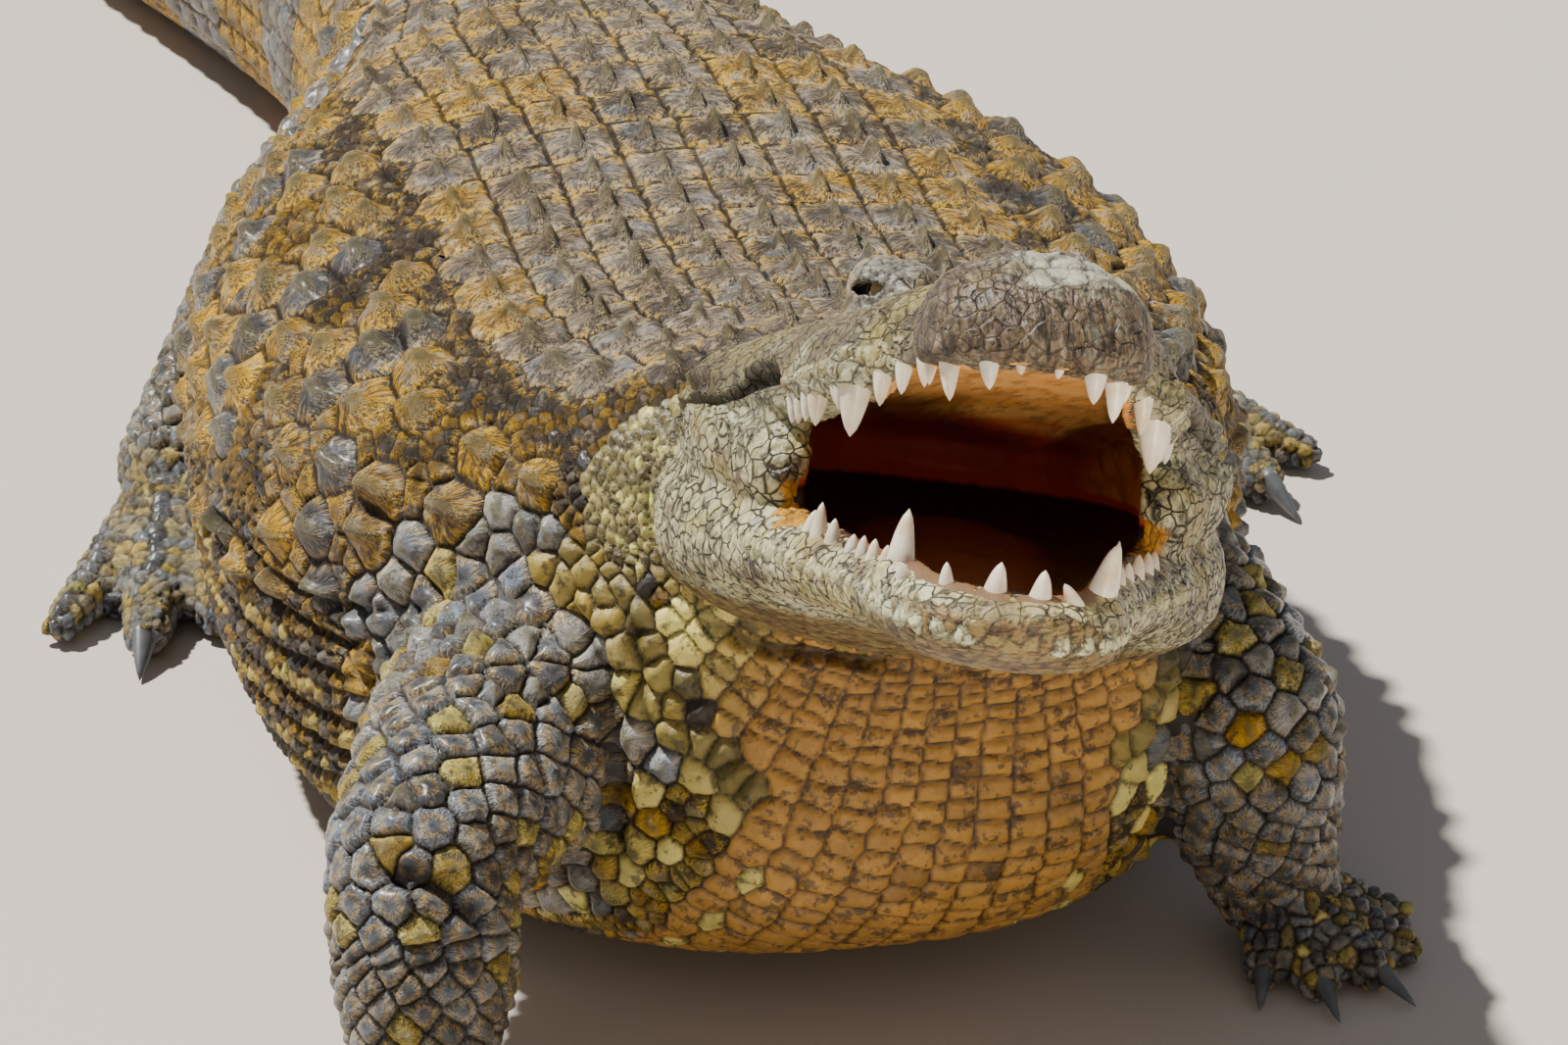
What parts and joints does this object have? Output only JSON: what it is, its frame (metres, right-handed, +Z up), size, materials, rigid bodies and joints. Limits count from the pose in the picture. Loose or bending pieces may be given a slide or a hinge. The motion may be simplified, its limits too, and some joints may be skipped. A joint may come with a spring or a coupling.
{
  "type": "nile crocodile",
  "caption": "Life-size still model of a heavy Nile crocodile lying on its belly with its jaws wide open.",
  "frame": {"origin": "on the floor under the middle of the model's bounding box", "axes": "+Z up, -Y toward the snout, +Y toward the tail tip, +X toward the animal's left side"},
  "size_m": [1.0028, 3.5898, 0.7739],
  "materials": {
    "jaw_skin": "dry horny scales, grey-green with fine cracks",
    "throat_skin": "smooth horny tiles, pale yellow",
    "back_skin": "dry ridged horn, brown and ochre",
    "tail_skin": "dry ridged horn, ochre and blue-grey bands",
    "leg_skin": "dry knobbly scales, blue-grey",
    "tongue_flesh": "moist flesh",
    "eye_gloss": "wet gloss"
  },
  "bodies": {
    "root": {"head": "jaw_skin", "lower_jaw": "jaw_skin", "neck": "throat_skin", "trunk": "back_skin", "tail_base": "tail_skin", "tail_middle": "tail_skin", "tail_rear": "tail_skin", "tail_tip": "tail_skin", "front_right_upper": "leg_skin", "front_right_lower": "leg_skin", "front_right_foot": "leg_skin", "front_left_upper": "leg_skin", "front_left_lower": "leg_skin", "front_left_foot": "leg_skin", "hind_right_upper": "leg_skin", "hind_right_lower": "leg_skin", "hind_right_foot": "leg_skin", "hind_left_upper": "leg_skin", "hind_left_lower": "leg_skin", "hind_left_foot": "leg_skin", "eye_right": "eye_gloss", "eye_left": "eye_gloss", "tongue": "tongue_flesh"}
  },
  "joints": []
}
